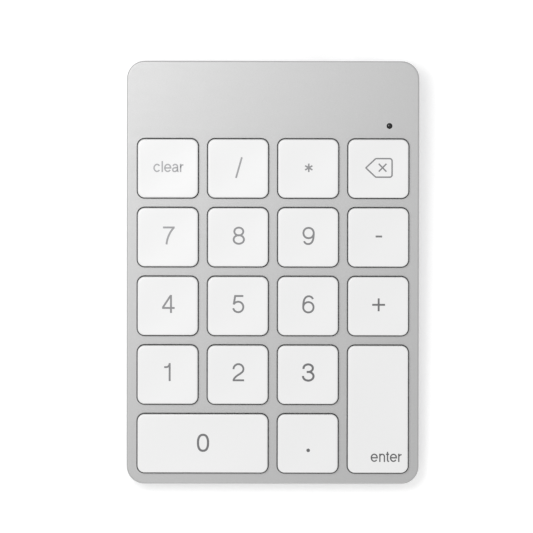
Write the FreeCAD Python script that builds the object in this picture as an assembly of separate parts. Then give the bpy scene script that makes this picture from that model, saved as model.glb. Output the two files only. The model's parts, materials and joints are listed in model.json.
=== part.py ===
import FreeCAD, Part

import math
import os

from FreeCAD import Placement, Rotation, Vector

# A slim wireless numeric keypad with 18 low-profile scissor keys, in millimetres.
#
# The aluminium deck slopes gently down towards the user. Nearly everything is drawn in the deck's own frame:
# +X to the right, +Y to the rear, +Z square out of the deck, and the origin at the middle of its top face.
# in_row_frame() then tips a shape to the row's frame, where +Z is up and the feet stand on Z = 0.

# ---------------------------------------------------------------- driving dimensions

# Deck and key grid
CASE_X = 79.4
CASE_Y = 115.0
CASE_CORNER_R = 4.8
DECK_T = 1.2
SKIRT_H = 3.8
SKIRT_T = 1.2
DECK_EDGE_R = 0.4
PITCH_X = 19.05
PITCH_Y = 18.69
WINDOW_X = 16.77
WINDOW_Y = 16.39
WINDOW_R = 2.1
WINDOW_BEVEL = 0.12
FRONT_MARGIN = 2.875
COLUMNS = 4

# Stance
SLOPE_DEG = 2.2
FRONT_EDGE_Z = 5.6
FOOT_RISE = 0.6

# Key: heights are over the deck's top face
KEY_GAP_X = 0.22
KEY_GAP_Y = 0.27
KEY_TRAVEL = 1.5
CAP_TOP = 1.6
CAP_ROOF_T = 1.0
CAP_LOW = -0.7
CAP_WALL = 1.0
CAP_EDGE_R = 0.4
MEMBRANE_T = 0.25
PLATE_T = 0.5
PLATE_TOP = -2.8

# Scissor links, which cross at the middle of the key
BAR_R = 0.35
BAR_LOW = -2.1
BAR_HIGH = 0.05
LINK_T = 0.7
OUTER_REACH = 5.0
OUTER_SIDE = 6.2
INNER_REACH = 3.8
INNER_SIDE = 4.9
ARM_W = 0.9
PIVOT_R = 0.3
EYE_R = 0.7
CLIP_GAP = 0.05

# Stabiliser wires under the two long keys
WIRE_R = 0.4
WIRE_ARM = 10.0
WIRE_BEND_R = 1.0
WIRE_HALF = 13.0
WIRE_TAIL = 1.4
WIRE_LOW = -2.05
WIRE_HIGH = 0.0
WIRE_BAR_Y = 6.2

# Screws
SHANK_R = 0.78
THREAD_R = 0.8
BOSS_R = 1.6
HEAD_R = 1.4
CASE_SCREW_SEAT = -4.8
CASE_SCREW_L = 4.0
CASE_BOSS_LOW = -3.6
SMALL_SCREW_L = 2.5
SMALL_HEAD_T = 0.5

# Bottom cover
COVER_INSET = 0.7
COVER_FLOOR_T = 1.2
COVER_EDGE_R = 0.9
LIP_GAP = 0.1
LIP_T = 0.8
LIP_TOP = -2.95
POST_R = 2.3

# Feet
FOOT_X = 14.0
FOOT_Y = 5.0
FOOT_T = 1.0

# Main board, hung under the deck behind the keys
BOARD_TOP = -3.5
BOARD_T = 0.8
BOARD_LEFT = 3.0
BOARD_RIGHT = 37.0
BOARD_FRONT = 38.6
BOARD_REAR = 55.0

# Rear face: socket and power switch
SOCKET_U = 12.5
SOCKET_X = 8.94
SOCKET_Z = 3.2
SOCKET_L = 7.35
SOCKET_WALL = 0.3
SOCKET_MOUTH_Y = 56.6
SWITCH_U = 25.0
KNOB_X = 2.6
KNOB_Z = 1.5
POWER_TRAVEL = 2.0

# Pairing button, under the keypad
PAIR_U = 20.0
PAIR_V = 44.6
PAIR_R = 1.8

# Indicator
LED_U = 31.6
LED_V = 39.92
LED_HOLE_R = 0.8

# ---------------------------------------------------------------- sizes that follow

SLOPE = math.radians(SLOPE_DEG)
MEMBRANE_TOP = PLATE_TOP + MEMBRANE_T
PLATE_LOW = PLATE_TOP - PLATE_T
CAP_ROOF = CAP_TOP - CAP_ROOF_T
BOARD_LOW = BOARD_TOP - BOARD_T
PORT_Z = BOARD_LOW - SOCKET_Z / 2
FLOOR_TOP_Z = FOOT_RISE + COVER_FLOOR_T
DECK_CENTRE_Z = FRONT_EDGE_Z + CASE_Y / 2 * math.sin(SLOPE)
# The skirt's lower rear edge reaches further back than the deck's front edge reaches forward.
DECK_CENTRE_Y = -SKIRT_H * math.sin(SLOPE) / 2
DECK_FRAME = Placement(Vector(0, DECK_CENTRE_Y, DECK_CENTRE_Z), Rotation(Vector(1, 0, 0), SLOPE_DEG))
BELOW = -16.0

# name, column of its left end, row from the front, columns wide, rows deep
KEYS = [
    ("clear", 0, 4, 1, 1), ("divide", 1, 4, 1, 1), ("multiply", 2, 4, 1, 1), ("backspace", 3, 4, 1, 1),
    ("7", 0, 3, 1, 1), ("8", 1, 3, 1, 1), ("9", 2, 3, 1, 1), ("minus", 3, 3, 1, 1),
    ("4", 0, 2, 1, 1), ("5", 1, 2, 1, 1), ("6", 2, 2, 1, 1), ("plus", 3, 2, 1, 1),
    ("1", 0, 1, 1, 1), ("2", 1, 1, 1, 1), ("3", 2, 1, 1, 1), ("enter", 3, 0, 1, 2),
    ("0", 0, 0, 2, 1), ("decimal", 2, 0, 1, 1),
]


def column_x(column):
    return (column - (COLUMNS - 1) / 2) * PITCH_X


def row_y(row):
    return -CASE_Y / 2 + FRONT_MARGIN + WINDOW_Y / 2 + row * PITCH_Y


def crossing(column, row):
    """Where the webs cross behind and to the right of the key at this column and row."""
    return column_x(column) + PITCH_X / 2, row_y(row) + PITCH_Y / 2


def key_centre(key):
    name, column, row, wide, deep = key
    return column_x(column + (wide - 1) / 2), row_y(row + (deep - 1) / 2)


def window_size(key):
    name, column, row, wide, deep = key
    return WINDOW_X + (wide - 1) * PITCH_X, WINDOW_Y + (deep - 1) * PITCH_Y


def is_long(key):
    return key[3] * key[4] > 1


CASE_SCREWS = [(-34.5, 51.5), (34.5, 51.5), crossing(0, 1), crossing(2, 1), crossing(1, 0)]
PLATE_SCREWS = [crossing(c, 3) for c in range(3)] + [crossing(c, 2) for c in range(3)] + [crossing(1, 1)]
BOARD_SCREWS = [(5.6, 51.5), (33.8, 44.5)]
FEET = [(x, y) for x in (-24.0, 24.0) for y in (-50.5, 50.8)]

# ---------------------------------------------------------------- small helpers


def in_row_frame(shape):
    return shape.transformed(DECK_FRAME.toMatrix(), True)


def box(x, y, z):
    """A box from (low, high) pairs along each axis."""
    return Part.makeBox(x[1] - x[0], y[1] - y[0], z[1] - z[0], Vector(x[0], y[0], z[0]))


def cylinder(centre, radius, low, high):
    return Part.makeCylinder(radius, high - low, Vector(centre[0], centre[1], low))


def rod_along_x(radius, half_length, y, z):
    return Part.makeCylinder(radius, 2 * half_length, Vector(-half_length, y, z), Vector(1, 0, 0))


def edges_at(shape, z):
    return [e for e in shape.Edges if all(abs(v.Z - z) < 1e-6 for v in e.Vertexes)]


def rounded_slab(centre, size, radius, low, high):
    """A rectangle with round corners, extruded from low to high."""
    half_x, half_y = size[0] / 2, size[1] / 2
    slab = box(
        (centre[0] - half_x, centre[0] + half_x), (centre[1] - half_y, centre[1] + half_y), (low, high)
    )
    upright = [e for e in slab.Edges if abs(e.tangentAt(e.FirstParameter).z) > 0.5]
    return slab.makeFillet(radius, upright)


def rounded_plug(centre, size, radius, front, rear):
    """The same shape lying down: centre and size are across X and Z, and it runs along Y."""
    plug = rounded_slab((0, 0), size, radius, front, rear)
    plug.rotate(Vector(0, 0, 0), Vector(1, 0, 0), -90)
    plug.translate(Vector(centre[0], 0, centre[1]))
    return plug


def joined(shapes):
    return shapes[0].multiFuse(shapes[1:]).removeSplitter() if len(shapes) > 1 else shapes[0]


def mirrored_pair(shape):
    """The shape and its mirror image in the plane X = 0."""
    return [shape, shape.mirror(Vector(0, 0, 0), Vector(1, 0, 0))]


def at_key(shape, key):
    """Moves a shape from a key's own middle to its place, a quarter turn round under a deep key."""
    moved = shape.copy()
    if key[4] > 1:
        moved.rotate(Vector(0, 0, 0), Vector(0, 0, 1), 90)
    moved.translate(Vector(*key_centre(key), 0))
    return moved


def round_wire(points, bend_r, wire_r):
    """A round wire along straight runs joined by tangent arcs of bend_r."""
    points = [Vector(*p) for p in points]
    edges = []
    start = points[0]
    for before, corner, after in zip(points, points[1:], points[2:]):
        back = (before - corner).normalize()
        on = (after - corner).normalize()
        half = back.getAngle(on) / 2
        trim = bend_r / math.tan(half)
        bisector = (back + on).normalize()
        enter = corner + back * trim
        leave = corner + on * trim
        top = corner + bisector * (bend_r / math.sin(half) - bend_r)
        edges.append(Part.LineSegment(start, enter).toShape())
        edges.append(Part.Arc(enter, top, leave).toShape())
        start = leave
    edges.append(Part.LineSegment(start, points[-1]).toShape())
    path = Part.Wire(edges)
    section = Part.Wire(Part.makeCircle(wire_r, points[0], points[1] - points[0]))
    swept = path.makePipeShell([section], True, False)
    expected = path.Length * math.pi * wire_r**2
    if not swept.isValid() or abs(swept.Volume / expected - 1) > 0.02:
        raise ValueError("a bent wire came out wrong")
    return swept


# ---------------------------------------------------------------- scissor mechanism, about a key's own middle


def link_angle(reach):
    return math.asin((BAR_HIGH - BAR_LOW) / (2 * reach))


def link_frame(reach, side):
    """A flat ring of two side arms and two round end bars, level at Z = 0."""
    arm = box((side - ARM_W, side), (-reach, reach), (-LINK_T / 2, LINK_T / 2))
    bars = [rod_along_x(BAR_R, side, y, 0) for y in (-reach, reach)]
    return joined(mirrored_pair(arm) + bars)


def scissor_links():
    """The outer link rises to the front and the inner one to the rear. The inner's pins turn in the outer."""
    inner = link_frame(INNER_REACH, INNER_SIDE)
    eye = Part.makeCylinder(EYE_R, ARM_W, Vector(OUTER_SIDE - ARM_W, 0, 0), Vector(1, 0, 0))
    outer = joined([link_frame(OUTER_REACH, OUTER_SIDE)] + mirrored_pair(eye))
    outer = outer.cut(rod_along_x(PIVOT_R + CLIP_GAP, OUTER_SIDE + 1, 0, 0))
    pin_end = OUTER_SIDE - ARM_W / 2
    pin_start = INNER_SIDE - ARM_W / 2
    pin = Part.makeCylinder(PIVOT_R, pin_end - pin_start, Vector(pin_start, 0, 0), Vector(1, 0, 0))
    inner = joined([inner] + mirrored_pair(pin))
    middle = Vector(0, 0, (BAR_LOW + BAR_HIGH) / 2)
    for link, reach, turn in ((outer, OUTER_REACH, -1), (inner, INNER_REACH, 1)):
        link.rotate(Vector(0, 0, 0), Vector(1, 0, 0), turn * math.degrees(link_angle(reach)))
        link.translate(middle)
    return [outer, inner]


OUTER_BAR_Y = OUTER_REACH * math.cos(link_angle(OUTER_REACH))
INNER_BAR_Y = INNER_REACH * math.cos(link_angle(INNER_REACH))
PLATE_CLIP_X = 4.2
CAP_CLIP_X = 2.4
CAP_HOOK_X = 4.4
CLIP_HALF = 0.6
HOOK_T = 0.4


def plate_hook(x, bar_y, bar_z, bar_r):
    """A tab bent up from the plate on the far side of a low bar, with a lip over the bar."""
    out = math.copysign(1, bar_y)
    gap = bar_r + 0.1
    lip_low = bar_z + bar_r + CLIP_GAP
    span = sorted((bar_y + out * gap, bar_y + out * (gap + HOOK_T)))
    over = sorted((bar_y - out * 0.1, bar_y + out * (gap + HOOK_T)))
    tab = box((x - CLIP_HALF, x + CLIP_HALF), span, (PLATE_TOP - PLATE_T / 2, lip_low + HOOK_T))
    lip = box((x - CLIP_HALF, x + CLIP_HALF), over, (lip_low, lip_low + HOOK_T))
    return joined([tab, lip])


def hook_slot(x, bar_y, bar_r, low, high, margin=0.0):
    """The hole that a hook is bent out of, or passes through."""
    out = math.copysign(1, bar_y)
    beyond = HOOK_T + margin if margin else 0
    ends = sorted((bar_y - out * (0.3 + margin), bar_y + out * (bar_r + 0.1 + beyond)))
    return box((x - CLIP_HALF - margin, x + CLIP_HALF + margin), ends, (low, high))


def scissor_hook_places():
    for x in (-PLATE_CLIP_X, PLATE_CLIP_X):
        yield x, OUTER_BAR_Y, BAR_LOW, BAR_R
    for x in (-CAP_CLIP_X, CAP_CLIP_X):
        yield x, -INNER_BAR_Y, BAR_LOW, BAR_R


def wire_angle(height):
    return math.asin((height - WIRE_LOW) / WIRE_ARM)


WIRE_PIVOT_Y = WIRE_BAR_Y - WIRE_ARM * math.cos(wire_angle(WIRE_HIGH))
WIRE_SLIDE = WIRE_ARM * (math.cos(wire_angle(WIRE_HIGH - KEY_TRAVEL)) - math.cos(wire_angle(WIRE_HIGH)))
WIRE_CLIP_X = 9.5


def wire_hook_places():
    for x in (-WIRE_HALF - 0.9, WIRE_HALF + 0.9):
        yield x, WIRE_PIVOT_Y, WIRE_LOW, WIRE_R


def stabiliser_wire():
    half = [
        (WIRE_HALF + WIRE_TAIL, WIRE_PIVOT_Y, WIRE_LOW),
        (WIRE_HALF, WIRE_PIVOT_Y, WIRE_LOW),
        (WIRE_HALF, WIRE_BAR_Y, WIRE_HIGH),
    ]
    other = [(-x, y, z) for x, y, z in reversed(half)]
    return round_wire(half + other, WIRE_BEND_R, WIRE_R)


def hook_places(key):
    places = list(scissor_hook_places())
    return places + list(wire_hook_places()) if is_long(key) else places


# ---------------------------------------------------------------- keycaps


def cap_clips():
    """Snap clips over the inner link's high bar, and open hooks that the outer link's high bar slides in."""
    bar_room = BAR_R + CLIP_GAP
    anchor = CAP_ROOF + 0.3
    clip_x = (CAP_CLIP_X - CLIP_HALF, CAP_CLIP_X + CLIP_HALF)
    clip = box(clip_x, (INNER_BAR_Y - 0.75, INNER_BAR_Y + 0.75), (-0.2, anchor))
    clip = clip.cut(rod_along_x(bar_room, OUTER_SIDE, INNER_BAR_Y, BAR_HIGH))
    slide = bar_room + 0.3
    hook_x = (CAP_HOOK_X - 0.5, CAP_HOOK_X + 0.5)
    hook = box(hook_x, (-OUTER_BAR_Y - slide - 0.4, -OUTER_BAR_Y + 0.7), (-0.65, anchor))
    channel = (BAR_HIGH - bar_room, BAR_HIGH + bar_room)
    hook = hook.cut(box((0, OUTER_SIDE), (-OUTER_BAR_Y - slide, -OUTER_BAR_Y + 1), channel))
    return mirrored_pair(clip) + mirrored_pair(hook)


def wire_clips(wall_y):
    """Clips that the stabiliser's long bar turns and slides in."""
    r = WIRE_R + CLIP_GAP + 0.02
    clip = box((WIRE_CLIP_X - 1, WIRE_CLIP_X + 1), (WIRE_BAR_Y - 0.85, wall_y), (-0.3, CAP_ROOF + 0.3))
    room = [rod_along_x(r, WIRE_HALF, WIRE_BAR_Y + slide, WIRE_HIGH) for slide in (0, WIRE_SLIDE)]
    room.append(box((0, WIRE_HALF), (WIRE_BAR_Y, WIRE_BAR_Y + WIRE_SLIDE), (WIRE_HIGH - r, WIRE_HIGH + r)))
    return mirrored_pair(clip.cut(room))


def cap_size(key):
    x, y = window_size(key)
    return x - 2 * KEY_GAP_X, y - 2 * KEY_GAP_Y


def keycap(key):
    size = cap_size(key)
    inside = (size[0] - 2 * CAP_WALL, size[1] - 2 * CAP_WALL)
    corner_r = WINDOW_R - KEY_GAP_X
    shell = rounded_slab((0, 0), size, corner_r, CAP_LOW, CAP_TOP)
    shell = shell.makeFillet(CAP_EDGE_R, edges_at(shell, CAP_TOP))
    shell = shell.cut(rounded_slab((0, 0), inside, corner_r - CAP_WALL, CAP_LOW - 1, CAP_ROOF))
    shell.translate(Vector(*key_centre(key), 0))
    pusher = cylinder((0, 0), 1.4, CAP_ROOF - 0.25, CAP_ROOF + 0.3)
    fittings = [pusher] + cap_clips()
    if is_long(key):
        fittings += wire_clips(min(inside) / 2 + 0.2)
    return joined([shell] + [at_key(f, key) for f in fittings])


# ---------------------------------------------------------------- plate, membrane and domes

PLATE_HALF_X = 37.1
PLATE_FRONT = -55.0
PLATE_REAR = 37.8


def sheet_with_holes(half_x, front, rear, low, high, margin):
    """A sheet under the keys, with round holes for the bosses that go through it."""
    sheet = rounded_slab((0, (front + rear) / 2), (2 * half_x, rear - front), 2.0, low, high)
    reach = [(c, BOSS_R + 0.3) for c in CASE_SCREWS if c[1] < rear]
    reach += [(c, margin) for c in PLATE_SCREWS]
    return sheet.cut([cylinder(c, r, low - 1, high + 1) for c, r in reach])


def key_plate():
    """Steel plate. Every hook is bent up out of a slot of its own."""
    plate = sheet_with_holes(PLATE_HALF_X, PLATE_FRONT, PLATE_REAR, PLATE_LOW, PLATE_TOP, THREAD_R + 0.1)
    slots, hooks = [], []
    for key in KEYS:
        for place in hook_places(key):
            slots.append(at_key(hook_slot(place[0], place[1], place[3], PLATE_LOW - 1, PLATE_TOP + 1), key))
            hooks.append(at_key(plate_hook(*place), key))
    return plate.cut(slots).multiFuse(hooks)


TAIL_X = (11.0, 21.0)
TAIL_END = 41.4


def membrane_circuit():
    """The bonded switch film, with slots for the plate's hooks and a tail to the board."""
    film = sheet_with_holes(
        PLATE_HALF_X - 0.1, PLATE_FRONT + 0.1, PLATE_REAR, PLATE_TOP, MEMBRANE_TOP, BOSS_R + 0.3
    )
    slots = [
        at_key(hook_slot(p[0], p[1], p[3], PLATE_TOP - 1, MEMBRANE_TOP + 1, 0.25), key)
        for key in KEYS for p in hook_places(key)
    ]
    tail = box(TAIL_X, (PLATE_REAR - 1, TAIL_END), (PLATE_TOP, MEMBRANE_TOP))
    return joined([film.cut(slots), tail])


DOME_H = 2.75


def dome():
    """A hollow silicone dome with a plunger inside, standing on the film."""
    outline = [
        (0, 0.9), (0.7, 0.9), (0.7, 2.1), (1.2, 2.1), (2.2, 0.4), (2.2, 0),
        (3.1, 0), (3.1, 0.3), (2.6, 0.5), (1.7, 2.1), (1.6, DOME_H), (0, DOME_H),
    ]
    points = [Vector(r, 0, z) for r, z in outline]
    face = Part.Face(Part.makePolygon(points + points[:1]))
    solid = face.revolve(Vector(0, 0, 0), Vector(0, 0, 1), 360)
    solid.translate(Vector(0, 0, MEMBRANE_TOP))
    return solid


# ---------------------------------------------------------------- top case and bottom cover


def hollow_boss(centre, low, hole_top):
    boss = cylinder(centre, BOSS_R, low, -DECK_T + 0.2)
    return boss, cylinder(centre, THREAD_R, low - 1, hole_top)


def top_case():
    """Aluminium deck and skirt, with a window for each key and bosses on its underside."""
    size = (CASE_X, CASE_Y)
    body = rounded_slab((0, 0), size, CASE_CORNER_R, -SKIRT_H, 0)
    body = body.makeFillet(DECK_EDGE_R, edges_at(body, 0))
    inside = tuple(s - 2 * SKIRT_T for s in size)
    body = body.cut(rounded_slab((0, 0), inside, CASE_CORNER_R - SKIRT_T, -SKIRT_H - 1, -DECK_T))
    windows = []
    for key in KEYS:
        window = rounded_slab(key_centre(key), window_size(key), WINDOW_R, -DECK_T - 1, 0)
        wider = tuple(s + 2 * WINDOW_BEVEL for s in window_size(key))
        flare = rounded_slab(key_centre(key), wider, WINDOW_R + WINDOW_BEVEL, -WINDOW_BEVEL, 1)
        lower = flare.makeChamfer(WINDOW_BEVEL * 0.999, edges_at(flare, -WINDOW_BEVEL))
        windows.append(window.fuse(lower))
    body = body.cut(windows)
    bosses, holes = [], []
    drilled = [(c, CASE_BOSS_LOW, -0.6) for c in CASE_SCREWS]
    drilled += [(c, PLATE_TOP, -0.6) for c in PLATE_SCREWS]
    drilled += [(c, BOARD_TOP, -1.4) for c in BOARD_SCREWS]
    for centre, low, top in drilled:
        boss, hole = hollow_boss(centre, low, top)
        bosses.append(boss)
        holes.append(hole)
    led = (LED_U, LED_V)
    holes.append(cylinder(led, LED_HOLE_R, -DECK_T - 1, 1))
    holes.append(cylinder(led, 1.4, -DECK_T - 1, -0.8))
    return joined([body] + bosses).cut(holes)


def cover_ribs():
    """Low ribs that hold the key plate up, clear of the screws' posts."""
    return [box((-34, 34), (y - 0.5, y + 0.5), (BELOW, PLATE_LOW - 0.1)) for y in (-50, -28, -6, 30)]


def bottom_cover():
    """Wedge-shaped plastic tray. Its lip goes up inside the skirt, and its floor is level."""
    outer_size = (CASE_X - 2 * COVER_INSET, CASE_Y - 2 * COVER_INSET)
    lip_size = tuple(s - 2 * (SKIRT_T + LIP_GAP) for s in (CASE_X, CASE_Y))
    inner_size = tuple(s - 2 * LIP_T for s in lip_size)
    lip_r = CASE_CORNER_R - SKIRT_T - LIP_GAP
    under_floor = box((-60, 60), (-80, 80), (BELOW * 2, FOOT_RISE))
    under_room = box((-60, 60), (-80, 80), (BELOW * 2, FLOOR_TOP_Z))
    shell = in_row_frame(rounded_slab((0, 0), outer_size, CASE_CORNER_R - COVER_INSET, BELOW, -SKIRT_H))
    shell = shell.cut(under_floor)
    shell = shell.makeFillet(COVER_EDGE_R, edges_at(shell, FOOT_RISE))
    lip = in_row_frame(rounded_slab((0, 0), lip_size, lip_r, -SKIRT_H - 1, LIP_TOP))
    room = in_row_frame(rounded_slab((0, 0), inner_size, lip_r - LIP_T, BELOW, 0)).cut(under_room)
    tray = shell.fuse(lip).cut(room)
    posts = [cylinder(c, POST_R, BELOW, CASE_BOSS_LOW - 0.1) for c in CASE_SCREWS]
    stands = [in_row_frame(s).cut(under_floor) for s in posts + cover_ribs()]
    tray = joined([tray] + stands)
    holes = []
    for centre in CASE_SCREWS:
        holes.append(cylinder(centre, SHANK_R + 0.15, BELOW, 0))
        holes.append(cylinder(centre, HEAD_R + 0.2, BELOW, CASE_SCREW_SEAT))
    holes.append(cylinder((PAIR_U, PAIR_V), PAIR_R + 0.1, BELOW, BOARD_LOW))
    holes.append(rounded_plug((SOCKET_U, PORT_Z), (SOCKET_X + 0.3, SOCKET_Z + 0.3), 1.6, 50, 60))
    slot = (KNOB_X + POWER_TRAVEL + 0.6, KNOB_Z + 0.4)
    holes.append(rounded_plug((SWITCH_U, PORT_Z), slot, 0.7, 54.8, 60))
    tray = tray.cut([in_row_frame(h) for h in holes])
    pockets = [foot_slab(c, 0.1, FOOT_RISE - 1, FOOT_T) for c in FEET]
    return tray.cut(pockets)


def foot_slab(centre, margin, low, high):
    size = (FOOT_X + 2 * margin, FOOT_Y + 2 * margin)
    return rounded_slab(centre, size, FOOT_Y / 2 + margin - 0.05, low, high)


def rubber_feet():
    """Drawn in the row's frame, because they stand level."""
    feet = []
    for centre in FEET:
        foot = foot_slab(centre, 0, 0, FOOT_T - 0.02)
        feet.append(foot.makeFillet(0.25, edges_at(foot, 0)))
    return feet


# ---------------------------------------------------------------- screws


def screw(centre, seat, length, head_t):
    """A pan head below the seat, with a cross recess, and a plain shank above it."""
    head = cylinder(centre, HEAD_R, seat - head_t, seat)
    head = head.makeFillet(0.2, edges_at(head, seat - head_t))
    shank = cylinder(centre, SHANK_R, seat - 0.1, seat + length)
    x, y = centre
    arm, half = 0.75, 0.16
    low = (seat - head_t - 1, seat - head_t + 0.35)
    across = box((x - arm, x + arm), (y - half, y + half), low)
    along = box((x - half, x + half), (y - arm, y + arm), low)
    return joined([head, shank]).cut([across, along])


def case_screws():
    return [screw(c, CASE_SCREW_SEAT, CASE_SCREW_L, 0.7) for c in CASE_SCREWS]


def internal_screws():
    """Short screws that hold the key plate and the board to the case's bosses."""
    plate = [screw(c, PLATE_LOW, SMALL_SCREW_L, SMALL_HEAD_T) for c in PLATE_SCREWS]
    return plate + [screw(c, BOARD_LOW, SMALL_SCREW_L, SMALL_HEAD_T) for c in BOARD_SCREWS]


# ---------------------------------------------------------------- electronics


def main_board():
    board = box((BOARD_LEFT, BOARD_RIGHT), (BOARD_FRONT, BOARD_REAR), (BOARD_LOW, BOARD_TOP))
    corner = box((31.6, BOARD_RIGHT + 1), (48.6, BOARD_REAR + 1), (BOARD_LOW - 1, BOARD_TOP + 1))
    drilled = [cylinder(c, THREAD_R + 0.1, BOARD_LOW - 1, BOARD_TOP + 1) for c in BOARD_SCREWS]
    return board.cut([corner] + drilled)


def chip(centre, size, height):
    """A part soldered on the board's underside."""
    x, y = centre
    half_x, half_y = size[0] / 2, size[1] / 2
    return box((x - half_x, x + half_x), (y - half_y, y + half_y), (BOARD_LOW - height, BOARD_LOW))


def board_chips():
    radio = chip((26.6, 46.2), (5, 5), 0.8)
    charger = chip((14.5, 45.5), (3, 3), 0.8)
    crystal = chip((26.6, 41.2), (2.5, 2.0), 0.6)
    aerial = chip((19.0, 53.2), (1.6, 3.2), 0.9)
    small = [chip((x, y), (0.6, 1.0), 0.45) for y in (40.6, 42.6) for x in (12.0, 13.4, 14.8, 16.2, 31.0)]
    return [radio, charger, crystal, aerial] + small


def membrane_connector():
    """A slotted connector on the board's upper side that the film's tail slides into."""
    x = (TAIL_X[0] - 1.2, TAIL_X[1] + 1.2)
    body = box(x, (39.6, 43.4), (BOARD_TOP, BOARD_TOP + 1.4))
    slot_x = (TAIL_X[0] - 0.1, TAIL_X[1] + 0.1)
    slot = box(slot_x, (39, TAIL_END + 0.2), (PLATE_TOP - 0.05, MEMBRANE_TOP + 0.05))
    return body.cut(slot)


def socket_shell():
    """Drawn-steel shell of the charging socket, open at the rear, with four legs soldered to the board."""
    front = SOCKET_MOUTH_Y - SOCKET_L
    outside = rounded_plug((SOCKET_U, PORT_Z), (SOCKET_X, SOCKET_Z), 1.5, front, SOCKET_MOUTH_Y)
    hollow = (SOCKET_X - 2 * SOCKET_WALL, SOCKET_Z - 2 * SOCKET_WALL)
    inside = rounded_plug((SOCKET_U, PORT_Z), hollow, 1.2, front + 0.8, SOCKET_MOUTH_Y + 1)
    side = SOCKET_X / 2
    legs = []
    for x in (SOCKET_U - side, SOCKET_U + side - 0.3):
        for y in (front + 0.6, front + 4.6):
            legs.append(box((x, x + 0.3), (y, y + 1.1), (PORT_Z, BOARD_LOW)))
    return joined([outside.cut(inside)] + legs)


def socket_tongue():
    """The moulded tongue in the middle of the socket, on its base block."""
    front = SOCKET_MOUTH_Y - SOCKET_L
    half_z = SOCKET_Z / 2 - SOCKET_WALL
    base = (SOCKET_X - 2 * SOCKET_WALL - 0.2, 2 * half_z - 0.2)
    block = rounded_plug((SOCKET_U, PORT_Z), base, 1.0, front + 0.85, front + 2.6)
    tongue_x = (SOCKET_U - 3.35, SOCKET_U + 3.35)
    tongue = box(tongue_x, (front + 2.5, SOCKET_MOUTH_Y - 0.6), (PORT_Z - 0.35, PORT_Z + 0.35))
    return joined([block, tongue])


SWITCH_REAR = 54.9


def power_switch_body():
    """Slide switch under the board. Its lever comes out of a slot in the rear face."""
    body = box((SWITCH_U - 4, SWITCH_U + 4), (51.6, SWITCH_REAR), (PORT_Z - 1.3, BOARD_LOW))
    room = box((SWITCH_U - 2.2, SWITCH_U + 2.2), (52.8, SWITCH_REAR + 1), (PORT_Z - 0.7, PORT_Z + 0.7))
    return body.cut(room)


def power_switch_knob():
    """Knob and lever, at the left end of the travel, which is off."""
    x = SWITCH_U - POWER_TRAVEL / 2
    lever = box((x - 0.7, x + 0.7), (53.0, 55.6), (PORT_Z - 0.55, PORT_Z + 0.55))
    knob = box((x - KNOB_X / 2, x + KNOB_X / 2), (55.2, 57.3), (PORT_Z - KNOB_Z / 2, PORT_Z + KNOB_Z / 2))
    knob = knob.makeFillet(0.15, [e for e in knob.Edges if e.BoundBox.YMin > 57.2])
    groove = box((x - 0.12, x + 0.12), (57.1, 58), (PORT_Z - KNOB_Z, PORT_Z + KNOB_Z))
    grooves = [groove.translated(Vector(step, 0, 0)) for step in (-0.7, 0, 0.7)]
    return joined([lever, knob]).cut(grooves)


PAIR_SWITCH_LOW = BOARD_LOW - 1.5


def pairing_switch():
    body = chip((PAIR_U, PAIR_V), (4.2, 3.4), BOARD_LOW - PAIR_SWITCH_LOW)
    return body.cut(cylinder((PAIR_U, PAIR_V), 0.95, PAIR_SWITCH_LOW - 1, PAIR_SWITCH_LOW + 1.0))


def pairing_button():
    """Round button in the floor. Its stem reaches up into the switch, and its flange keeps it in."""
    centre = (PAIR_U, PAIR_V)
    floor = (FLOOR_TOP_Z - DECK_CENTRE_Z - (PAIR_V + PAIR_R) * math.sin(SLOPE)) / math.cos(SLOPE)
    face = floor - COVER_FLOOR_T + 0.3
    rim = floor + 0.25
    cap = cylinder(centre, PAIR_R, face, rim + 0.2)
    cap = cap.makeFillet(0.25, edges_at(cap, face))
    flange = cylinder(centre, PAIR_R + 0.6, rim, rim + 0.4)
    stem = cylinder(centre, 0.8, rim, PAIR_SWITCH_LOW + 0.4)
    return joined([cap, flange, stem])


def status_led():
    return box((LED_U - 0.8, LED_U + 0.8), (LED_V - 0.4, LED_V + 0.4), (BOARD_TOP, BOARD_TOP + 0.6))


def led_light_pipe():
    centre = (LED_U, LED_V)
    tip = cylinder(centre, LED_HOLE_R - 0.05, -1.0, -0.35)
    tip = tip.makeFillet(0.2, edges_at(tip, -0.35))
    flange = cylinder(centre, 1.3, -1.5, -0.85)
    stem = cylinder(centre, 0.9, BOARD_TOP + 0.7, -1.4)
    return joined([tip, flange, stem])


CELL_RIGHT = -1.0
CELL_X = (-31.5, CELL_RIGHT)
CELL_Y = (38.8, 54.8)
CELL_Z = (-5.25, -1.25)
LEDGE_Z = (-5.15, -4.35)


def battery_cell():
    """A soft-pack cell, with the thin sealed ledge and its protection board at the lead end."""
    middle = ((CELL_X[0] + CELL_X[1]) / 2, (CELL_Y[0] + CELL_Y[1]) / 2)
    pouch = rounded_slab(middle, (CELL_X[1] - CELL_X[0], CELL_Y[1] - CELL_Y[0]), 1.5, *CELL_Z)
    pouch = pouch.makeFillet(0.8, edges_at(pouch, CELL_Z[0]))
    ledge = box((CELL_RIGHT - 1, CELL_RIGHT + 1.8), (CELL_Y[0] + 0.8, CELL_Y[1] - 0.8), LEDGE_Z)
    return joined([pouch, ledge])


LEAD_R = 0.4
LEAD_Z = -4.9
CONNECTOR_LEFT = 4.2


def battery_leads():
    leads = []
    for step in (0, 1.3):
        start_y, end_y = 44.4 + step, 43.2 + step
        start_x = CELL_RIGHT + 1.8
        span = CONNECTOR_LEFT - start_x
        route = [
            (start_x, start_y, LEAD_Z), (start_x + 0.25 * span, start_y, LEAD_Z),
            (start_x + 0.75 * span, end_y, LEAD_Z), (CONNECTOR_LEFT, end_y, LEAD_Z),
        ]
        leads.append(round_wire(route, 0.8, LEAD_R))
    return leads


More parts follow.
